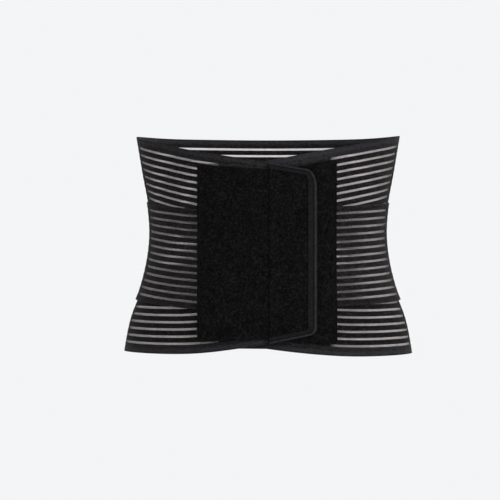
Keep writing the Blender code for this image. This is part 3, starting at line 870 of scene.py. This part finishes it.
def add_panel(name, columns, low, high, offset, free_ends, stands_for, material):
    """A loop-faced panel: one closed skin with rounded edges and a sunk line of stitching."""
    height = near_and_between(low, high, PANEL_ROWS)
    from_side = np.minimum(height - low[:, None], high[:, None] - height)
    from_end = np.full(columns.shape, np.inf)
    rounded_end = np.minimum(columns - columns[0], columns[-1] - columns)
    if "start" in free_ends:
        from_end = np.minimum(from_end, columns - columns[0])
    if "end" in free_ends:
        from_end = np.minimum(from_end, columns[-1] - columns)
    from_edge = np.minimum(from_side, from_end[:, None])
    rim = np.clip(np.minimum(from_side, rounded_end[:, None]) / PANEL_ROUND, 0.0, 1.0)
    soften = PANEL_ROUND * (1 - np.sqrt(1 - (1 - rim) ** 2))
    groove = STITCH_SINK * np.exp(-(((from_edge - STITCH_INSET) / STITCH_SINK_WIDTH) ** 2))
    belt_ripple = np.sin(columns * LONG_RIPPLE[0] + LONG_RIPPLE_PHASES[0])[:, None]
    long_ripple = belt_ripple * np.sin(height * LONG_RIPPLE[1] + LONG_RIPPLE_PHASES[1])
    short_ripple = np.sin(columns[:, None] * SHORT_RIPPLE[0] + height * SHORT_RIPPLE[1])
    ripple = PANEL_RIPPLE * (long_ripple + SHORT_RIPPLE_SHARE * short_ripple)
    front = PANEL_THICKNESS - soften - groove + np.minimum(ripple, 0.0) * (rim >= 1.0)
    xyz = np.concatenate(
        [
            lay(columns[:, None], height, offset[:, None] + front),
            lay(columns[:, None], height[:, ::-1], (offset[:, None] + soften)[:, ::-1]),
        ],
        axis=1,
    )
    piece = new_piece(name, flat_tube(xyz), material, stands_for)
    cloth_uv(
        piece,
        np.broadcast_to(columns[:, None], xyz.shape[:2]),
        np.concatenate([height, height[:, ::-1]], axis=1),
    )
    return piece


def stitch_row(path_belt, path_height, path_offset):
    """Stitches of sewing thread spaced along a path on the torso."""
    steps = np.hypot(np.diff(path_belt), np.diff(path_height))
    run = np.concatenate([[0.0], np.cumsum(steps)])
    starts = np.arange(STITCH_PITCH / 2, run[-1] - STITCH_LENGTH, STITCH_PITCH)
    at = starts[:, None] + np.linspace(0.0, STITCH_LENGTH, len(STITCH_TAPER))[None, :]
    bow = STITCH_BOW * (1 - np.linspace(-1.0, 1.0, len(STITCH_TAPER)) ** 2)
    return strands(
        np.interp(at, run, path_belt),
        np.interp(at, run, path_height),
        np.interp(at, run, path_offset) + bow[None, :],
        STITCH_WIDTH, STITCH_WIDTH, STITCH_SIDES, STITCH_TAPER,
    )


def panel_stitch_path(columns, low, high, free_end, offset):
    """A line just inside a panel's free edges: along one side, round the free end and back."""
    turns = np.linspace(0.0, math.pi / 2, STITCH_PATH_TURNS)[1:-1]
    inner_radius = PANEL_CORNER - STITCH_INSET
    outwards = 1.0 if free_end == "end" else -1.0
    tip = columns[-1] - STITCH_INSET if free_end == "end" else columns[0] + STITCH_INSET
    root = columns[0] if free_end == "end" else columns[-1]
    side_start, side_end = root + outwards * STITCH_PATH_START, tip - outwards * inner_radius
    straight = np.linspace(side_start, side_end, STITCH_PATH_SIDE_STEPS)
    arc_belt = tip - outwards * inner_radius * (1 - np.sin(turns))
    arc_drop = inner_radius * (1 - np.cos(turns))
    side_belt = np.concatenate([straight, arc_belt])
    side_drop = np.concatenate([np.zeros(STITCH_PATH_SIDE_STEPS), arc_drop]) + STITCH_INSET
    top = np.interp(side_belt, columns, high) - side_drop
    bottom = np.interp(side_belt, columns, low) + side_drop
    between = np.linspace(top[-1], bottom[-1], STITCH_PATH_END_STEPS)[1:-1]
    belt = np.concatenate([side_belt, np.full(len(between), side_belt[-1]), side_belt[::-1]])
    height = np.concatenate([top, between, bottom[::-1]])
    return belt, height, np.interp(belt, columns, offset) + PANEL_THICKNESS - STITCH_SINK


def outer_panel_shape():
    """The outer panel's places along the belt, with its bottom and top edges there."""
    edge = FULL_GIRTH - OUTER_PANEL_REACH
    at = near_and_between(edge, FULL_GIRTH - SEAM_CLOSED, OUTER_PANEL_COLUMNS)
    share = (at - edge) / OUTER_PANEL_REACH
    bottom, top = (
        margin + share * (OUTER_PANEL_MARGIN_SEAM - margin) + corner_drop(at - edge, PANEL_CORNER)
        for margin in (OUTER_PANEL_BOTTOM_MARGIN, OUTER_PANEL_TOP_MARGIN)
    )
    return at, belt_line("bottom", at) + bottom, belt_line("top", at) - top


def inner_panel_shape():
    """The inner panel's places along the belt, with its bottom and top edges there."""
    at = near_and_between(-INNER_PANEL_HIDDEN, INNER_PANEL_REACH, INNER_PANEL_COLUMNS)
    drop = INNER_PANEL_MARGIN + corner_drop(INNER_PANEL_REACH - at, PANEL_CORNER)
    return at, belt_line("bottom", at) + drop, belt_line("top", at) - drop


def add_front_panels(material, thread):
    """The outer and the inner panel, each with a line of stitches round its free edges."""
    for stands_for, shape, free_end in (
        ("outer_panel", outer_panel_shape(), "start"),
        ("inner_panel", inner_panel_shape(), "end"),
    ):
        at, low, high = shape
        layer = np.full(len(at), PANEL_LAYER)
        panel = add_panel(stands_for + "_pile", at, low, high, layer, (free_end,), stands_for, material)
        skin = stitch_row(*panel_stitch_path(at, low, high, free_end, layer))
        stitches = new_piece(stands_for + "_stitches", skin, thread, stands_for)


def tab_edge(name, past_seam):
    """Height of the tab's bound top or bottom edge before its corners are rounded."""
    change = -TAB_TOP_FALL if name == "top" else TAB_BOTTOM_RISE
    return belt_line(name, FULL_GIRTH) + change * past_seam / TAB_LENGTH


def tab_layer(past_seam):
    """The tab leaves the seam level with the outer panel, then settles on the hook strip."""
    return PANEL_LAYER + (TAB_LAYER - PANEL_LAYER) * smooth_step(past_seam, SEAM_GAP, TAB_SETTLE_LENGTH)


def tab_corners(shrink):
    """Length and drop of the tab's top and bottom corners, for a line inside its bare edge."""
    return [
        [max(size - shrink, BINDING_INNER_CORNER) for size in corner]
        for corner in (
            (TAB_TOP_CORNER_LENGTH, TAB_TOP_CORNER_DROP),
            (TAB_BOTTOM_CORNER, TAB_BOTTOM_CORNER),
        )
    ]


def tab_half_line(name, side_inset, end_inset, rounding):
    """A line inside the tab's bound edge: along its top or bottom, then round the corner."""
    length, drop = rounding
    inwards = -1.0 if name == "top" else 1.0
    end = TAB_LENGTH - end_inset
    straight = np.linspace(SEAM_CLOSED, end - length, TAB_RUN_STEPS)
    turns = np.linspace(0.0, math.pi / 2, TAB_TURN_STEPS)[1:]
    past = np.concatenate([straight, end - length * (1 - np.sin(turns))])
    fall = np.concatenate([np.zeros(TAB_RUN_STEPS), drop * (1 - np.cos(turns))])
    return np.stack([past, tab_edge(name, past) + inwards * (side_inset + fall)], axis=1)


def tab_line(side_inset, end_inset, corners):
    """A whole line inside the tab's bound edge, from the seam's top round to its bottom."""
    top = tab_half_line("top", side_inset, end_inset, corners[0])
    bottom = tab_half_line("bottom", side_inset, end_inset, corners[1])
    t = np.linspace(0.0, 1.0, TAB_END_STEPS)[1:-1, None]
    between = top[-1] * (1 - t) + bottom[-1] * t
    return np.concatenate([top, between, bottom[::-1]])


def add_binding(tape, thread):
    """The tape folded over the tab's edge, its stitches, and its length."""
    bound = tab_line(0.0, 0.0, tab_corners(-BINDING_REACH))
    inner = tab_line(BINDING_SIDE_WIDTH, BINDING_END_WIDTH, tab_corners(BINDING_END_WIDTH - BINDING_REACH))
    share, above = BINDING_SECTION[:, 0], BINDING_SECTION[:, 1] * 1e-3
    places = bound[:, None, :] + (inner - bound)[:, None, :] * share[None, :, None]
    run = running_length(bound)
    wander = PUCKER_WANDER * np.sin(run * PUCKER_WANDER_TURN)
    pucker = BINDING_PUCKER * np.sin(run * 2 * math.pi / STITCH_PITCH + wander)
    rise = above[None, :] + pucker[:, None] * (above[None, :] > PUCKER_FROM_HEIGHT)
    sewn_down = SEWN_DOWN_SHARE * (1 - smooth_step(places[..., 0], 0.0, SEWN_DOWN_LENGTH))
    rise = rise - np.maximum(rise - PANEL_THICKNESS, 0.0) * sewn_down
    rings = lay(FULL_GIRTH + places[..., 0], places[..., 1], tab_layer(places[..., 0]) + rise)
    binding = new_piece("tab_binding_tape", tubes(rings[None]), tape, "tab_binding")
    steps = np.hypot(np.diff(share) * BINDING_SIDE_WIDTH, np.diff(above))
    unrolled = np.concatenate([[0.0], np.cumsum(steps)])
    cloth_uv(
        binding,
        np.broadcast_to(run[:, None], rings.shape[:2]),
        np.broadcast_to(unrolled[None, :], rings.shape[:2]),
    )
    row = bound + (inner - bound) * BINDING_STITCH_SHARE
    skin = stitch_row(FULL_GIRTH + row[:, 0], row[:, 1], tab_layer(row[:, 0]) + BINDING_STITCH_HEIGHT)
    stitches = new_piece("tab_binding_stitches", skin, thread, "tab_binding")
    return binding, stitches, run[-1]


def add_closure_seam(thread):
    """A row of stitches on each side of the vertical seam, and the cord in it."""
    low = belt_line("bottom", FULL_GIRTH) + OUTER_PANEL_MARGIN_SEAM
    high = belt_line("top", FULL_GIRTH) - OUTER_PANEL_MARGIN_SEAM
    skins = []
    for side in (-1, 1):
        height = np.linspace(low, high, SEAM_STITCH_STEPS)
        belt = np.full(SEAM_STITCH_STEPS, FULL_GIRTH + side * SEAM_STITCH_SPREAD)
        offset = np.full(SEAM_STITCH_STEPS, PANEL_LAYER + PANEL_THICKNESS - STITCH_SINK)
        skins.append(stitch_row(belt, height, offset))
    height = np.linspace(low - SEAM_CORD_OVERRUN, high + SEAM_CORD_OVERRUN, SEAM_CORD_STEPS)[None, :]
    belt = np.full_like(height, FULL_GIRTH)
    offset = np.full_like(height, PANEL_LAYER + SEAM_CORD_HEIGHT)
    skins.append(strands(belt, height, offset, SEAM_CORD, SEAM_CORD, SEAM_CORD_SIDES))
    return new_piece("closure_seam_stitches", merged(skins), thread, "closure_tab")


def add_tab(pile, tape, thread):
    """The closure tab, with its binding and its seam."""
    top_corner, bottom_corner = tab_corners(0.0)
    top = tab_half_line("top", BINDING_REACH, BINDING_REACH, top_corner)
    bottom = tab_half_line("bottom", BINDING_REACH, BINDING_REACH, bottom_corner)
    past = near_and_between(SEAM_CLOSED, TAB_LENGTH - BINDING_REACH, TAB_COLUMNS)
    low = np.interp(past, bottom[:, 0], bottom[:, 1])
    high = np.interp(past, top[:, 0], top[:, 1])
    tab = add_panel(
        "closure_tab_pile", FULL_GIRTH + past, low, high, tab_layer(past), (), "closure_tab", pile
    )
    binding, binding_stitches, bound_length = add_binding(tape, thread)
    seam_stitches = add_closure_seam(thread)


def add_hook_strip(material):
    """Hook tape behind the tab: a woven ground with rounded edges and rows of small hooks."""
    start = FULL_GIRTH + TAB_SETTLE_LENGTH
    belts = np.linspace(start, start + HOOK_LENGTH, HOOK_COLUMNS)[:, None]
    half = np.linspace(-HOOK_HEIGHT / 2, HOOK_HEIGHT / 2, HOOK_ROWS)
    height = np.concatenate([half, half[::-1]])[None, :]
    above = np.repeat([HOOK_GROUND + HOOK_SEAT, HOOK_SEAT], HOOK_ROWS)[None, :]
    rings = lay(belts, height, above)
    tape = new_piece("hook_strip_tape", flat_tube(rings), material, "hook_strip")
    cloth_uv(tape, np.broadcast_to(belts, rings.shape[:2]), np.broadcast_to(height, rings.shape[:2]))
    across, up = np.meshgrid(
        np.arange(start + HOOK_MARGIN, start + HOOK_LENGTH - HOOK_MARGIN, HOOK_PITCH),
        np.arange(-HOOK_HEIGHT / 2 + HOOK_MARGIN, HOOK_HEIGHT / 2 - HOOK_MARGIN, HOOK_PITCH),
    )
    foot_belt, foot_height = across.reshape(-1, 1), up.reshape(-1, 1)
    bend, stand = np.array([HOOK_BEND]), np.array([HOOK_STAND])
    skin = strands(
        foot_belt + bend, foot_height + HOOK_SLANT * bend, HOOK_SEAT + HOOK_ROOT + stand,
        HOOK_WIRE, HOOK_WIRE, HOOK_SIDES,
    )
    hooks = new_piece("hook_strip_hooks", skin, material, "hook_strip")
    nowhere = np.zeros(len(hooks.data.vertices))
    cloth_uv(hooks, nowhere, nowhere)


def add_stage():
    """A pale floor, an even pale surround, and soft lamps with the strongest to the viewer's right."""
    bpy.ops.mesh.primitive_circle_add(
        vertices=FLOOR_SIDES, radius=FLOOR_SIZE, fill_type="NGON", location=(0, 0, -FLOOR_DEPTH)
    )
    floor = bpy.context.object
    floor.name = "floor"
    n = Nodes("floor_paint")
    paint = n.ramp(n.noise(n.place(), FLOOR_PATCHES), FLOOR_SHADES)
    normal = n.bump(n.noise(n.place(), FLOOR_GRAIN), *FLOOR_BUMP)
    floor.data.materials.append(n.finish(paint, normal, *FLOOR_FINISH))
    world = bpy.data.worlds.new("studio")
    bpy.context.scene.world = world
    world.use_nodes = True
    background = world.node_tree.nodes["Background"]
    background.inputs["Color"].default_value = SURROUND
    background.inputs["Strength"].default_value = 1.0
    for name, (place, size, power) in LAMPS.items():
        lamp = bpy.data.lights.new(name, "AREA")
        lamp.energy, lamp.size = power, size
        holder = bpy.data.objects.new(name, lamp)
        holder.location = place
        holder.rotation_euler = (-holder.location).to_track_quat("-Z", "Y").to_euler()
        bpy.context.scene.collection.objects.link(holder)


def add_camera():
    """A level camera in front that frames the photograph's width at the torso's axis."""
    data = bpy.data.cameras.new("camera")
    data.sensor_width = SENSOR_WIDTH
    data.lens = SENSOR_WIDTH * CAMERA_DISTANCE / FRAME_WIDTH_AT_AXIS
    camera = bpy.data.objects.new("camera", data)
    camera.location = (CAMERA_SIDE, -CAMERA_DISTANCE, 0.0)
    camera.rotation_euler = (math.pi / 2, 0.0, 0.0)
    bpy.context.scene.collection.objects.link(camera)
    bpy.context.scene.camera = camera


bpy.context.scene.view_settings.view_transform = "Standard"
add_camera()
add_stage()

knits = {band: elastic_material(band) for band in BANDS}
tie = thread_material("tie_thread", TIE_SHADES, TIE_TWIST)
pile = pile_material()
tape = tape_material("edging_tape", EDGING_SHADES, EDGING_FOLD_LIGHT_AND_GROOVE_SHADE, EDGING_SHEEN)
hook_tape = tape_material("hook_tape_weave", HOOK_SHADES, HOOK_FOLD_LIGHT_AND_GROOVE_SHADE, HOOK_SHEEN)
sewing = thread_material("sewing_thread", SEWING_SHADES, SEWING_TWIST)

for band in BANDS:
    add_band(band, knits[band], yarn_material(band), tie)
add_front_panels(pile, sewing)
add_tab(pile, tape, sewing)
add_hook_strip(hook_tape)
